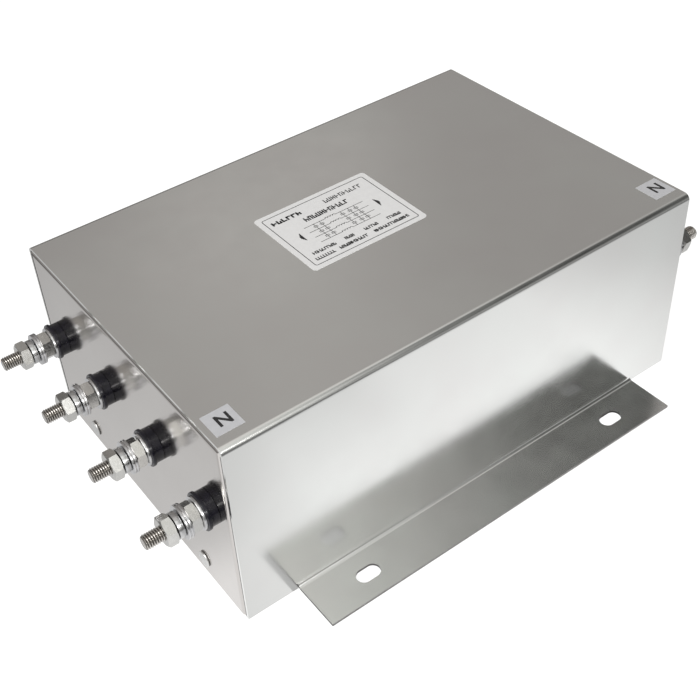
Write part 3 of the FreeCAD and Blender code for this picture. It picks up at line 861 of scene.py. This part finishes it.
# Under the object the glow is dimmed, a painted shade, which also weakens the mirror image of the
# feet's slots in the walls.
under_x = sum_up("LESS_THAN", sum_up("ABSOLUTE", x), UNDER_X)
under_y = sum_up("LESS_THAN", out_y, UNDER_Y)
under = sum_up("MULTIPLY", under_x, under_y)
dim = span(x, -0.088, 0.088, 0.52, 0.17)
mirrored = sum_up("ADD", mirrored, sum_up("MULTIPLY", under, sum_up("SUBTRACT", dim, mirrored)))
by_metal = sum_up("MAXIMUM", path.outputs["Is Glossy Ray"], path.outputs["Is Transmission Ray"])
painted_floor_glow = tree.nodes.new("ShaderNodeEmission")
tree.links.new(mirrored, painted_floor_glow.inputs["Strength"])
seen = tree.nodes.new("ShaderNodeEmission")
# The camera sees a pale floor, with the object's shadow from the diffuse part.
by_camera = sum_up("MULTIPLY", path.outputs["Is Camera Ray"], FLOOR_GLOW)
tree.links.new(by_camera, seen.inputs["Strength"])
diffuse = tree.nodes.new("ShaderNodeBsdfDiffuse")
diffuse.inputs["Color"].default_value = (0.4, 0.4, 0.4, 1)
direct = tree.nodes.new("ShaderNodeAddShader")
tree.links.new(diffuse.outputs[0], direct.inputs[0])
tree.links.new(seen.outputs[0], direct.inputs[1])
either = tree.nodes.new("ShaderNodeMixShader")
tree.links.new(by_metal, either.inputs["Fac"])
tree.links.new(direct.outputs[0], either.inputs[1])
tree.links.new(painted_floor_glow.outputs[0], either.inputs[2])
tree.links.new(either.outputs[0], output.inputs["Surface"])
floor.data.materials.append(pale)

world = bpy.data.worlds.new("studio")
bpy.context.scene.world = world
world.use_nodes = True
wt = world.node_tree
# A room at an even level with soft patches, set to what the sheets mirror in the photo.
# The brightest one, high in front, reaches 1.4.
background = wt.nodes["Background"]
where = wt.nodes.new("ShaderNodeTexCoord")


def lobe(direction, start, end, amount, below):
    """Adds a soft patch of light, or takes one away, around a direction."""
    dot = wt.nodes.new("ShaderNodeVectorMath")
    dot.operation = "DOT_PRODUCT"
    dot.inputs[1].default_value = Vector(direction).normalized()
    wt.links.new(where.outputs["Generated"], dot.inputs[0])
    ramp = wt.nodes.new("ShaderNodeMapRange")
    ramp.interpolation_type = "SMOOTHSTEP"
    ramp.inputs["From Min"].default_value = start
    ramp.inputs["From Max"].default_value = end
    ramp.inputs["To Min"].default_value = 0.0
    ramp.inputs["To Max"].default_value = amount
    wt.links.new(dot.outputs["Value"], ramp.inputs["Value"])
    total = wt.nodes.new("ShaderNodeMath")
    total.operation = "ADD"
    wt.links.new(ramp.outputs["Result"], total.inputs[0])
    if isinstance(below, float):
        total.inputs[1].default_value = below
    else:
        wt.links.new(below, total.inputs[1])
    return total.outputs[0]


ROOM_LEVEL = 0.45
# Direction, cosine where the patch starts, cosine where it is full, and what it adds
PATCHES = (
    ((-0.10, -0.70, 0.70), 0.77, 0.93, 0.70),
    ((0.10, -0.10, 0.99), 0.82, 0.98, 0.28),
    ((0.70, -0.45, 0.52), 0.80, 0.98, -0.23),
    ((0.75, 0.45, 0.50), 0.88, 0.99, -0.05),
    ((0.33, 0.92, 0.18), 0.90, 0.99, -0.24),
    ((0.32, -0.95, 0.00), 0.985, 0.999, -0.25),
    ((0.56, -0.82, 0.08), 0.90, 0.99, -0.12),
    ((0.42, 0.58, 0.70), 0.990, 0.9995, 0.04),
    ((0.46, 0.65, 0.60), 0.80, 0.92, -0.075),
    ((0.45, -0.58, 0.70), 0.86, 0.97, -0.17),
    ((0.42, 0.74, 0.52), 0.985, 0.9995, 0.10),
    ((0.27, -0.52, 0.81), 0.988, 0.9995, -0.29),
    ((0.57, -0.44, 0.70), 0.985, 0.999, 0.045),
)
level = ROOM_LEVEL
for patch in PATCHES:
    level = lobe(*patch, level)
tint = wt.nodes.new("ShaderNodeValToRGB")
tint.color_ramp.elements[0].position = 0.35
tint.color_ramp.elements[0].color = (1.0, 1.0, 0.97, 1)
tint.color_ramp.elements[1].position = 0.65
tint.color_ramp.elements[1].color = (1.0, 0.96, 0.925, 1)
towards = wt.nodes.new("ShaderNodeSeparateXYZ")
wt.links.new(where.outputs["Generated"], towards.inputs[0])
share = wt.nodes.new("ShaderNodeMath")
share.operation = "MULTIPLY_ADD"
share.inputs[1].default_value = 0.5
share.inputs[2].default_value = 0.5
wt.links.new(towards.outputs["Y"], share.inputs[0])
wt.links.new(share.outputs[0], tint.inputs["Fac"])
wt.links.new(tint.outputs["Color"], background.inputs["Color"])
wt.links.new(level, background.inputs["Strength"])


def softbox(name, place, size, power, target=(0, 0, 0.06)):
    lamp = bpy.data.lights.new(name, "AREA")
    lamp.shape = "RECTANGLE"
    lamp.size, lamp.size_y = size
    lamp.energy = power
    obj = bpy.data.objects.new(name, lamp)
    obj.location = place
    obj.rotation_euler = (Vector(target) - Vector(place)).to_track_quat("-Z", "Y").to_euler()
    bpy.context.collection.objects.link(obj)
    return obj


softbox("left softbox", (-1.50, -0.30, 1.3), (1.0, 1.0), 15.0)
softbox("strip lamp", (-0.16, -1.70, 1.05), (1.0, 0.22), 7.0, (-0.16, 0, 0.06))

# Camera, fitted to the photo's edges

camera_data = bpy.data.cameras.new("camera")
camera_data.lens = 58.567
camera_data.sensor_width = 36.0
camera_data.shift_x = 0.05677
camera_data.shift_y = -0.04968
camera = bpy.data.objects.new("camera", camera_data)
camera.matrix_world = Matrix(
    (
        (0.810963, 0.412287, -0.415161, -0.29782),
        (-0.581463, 0.488928, -0.650269, -0.41048),
        (-0.065114, 0.768745, 0.636232, 0.47411),
        (0, 0, 0, 1),
    )
)
bpy.context.collection.objects.link(camera)
bpy.context.scene.camera = camera
bpy.context.scene.view_settings.view_transform = "Standard"
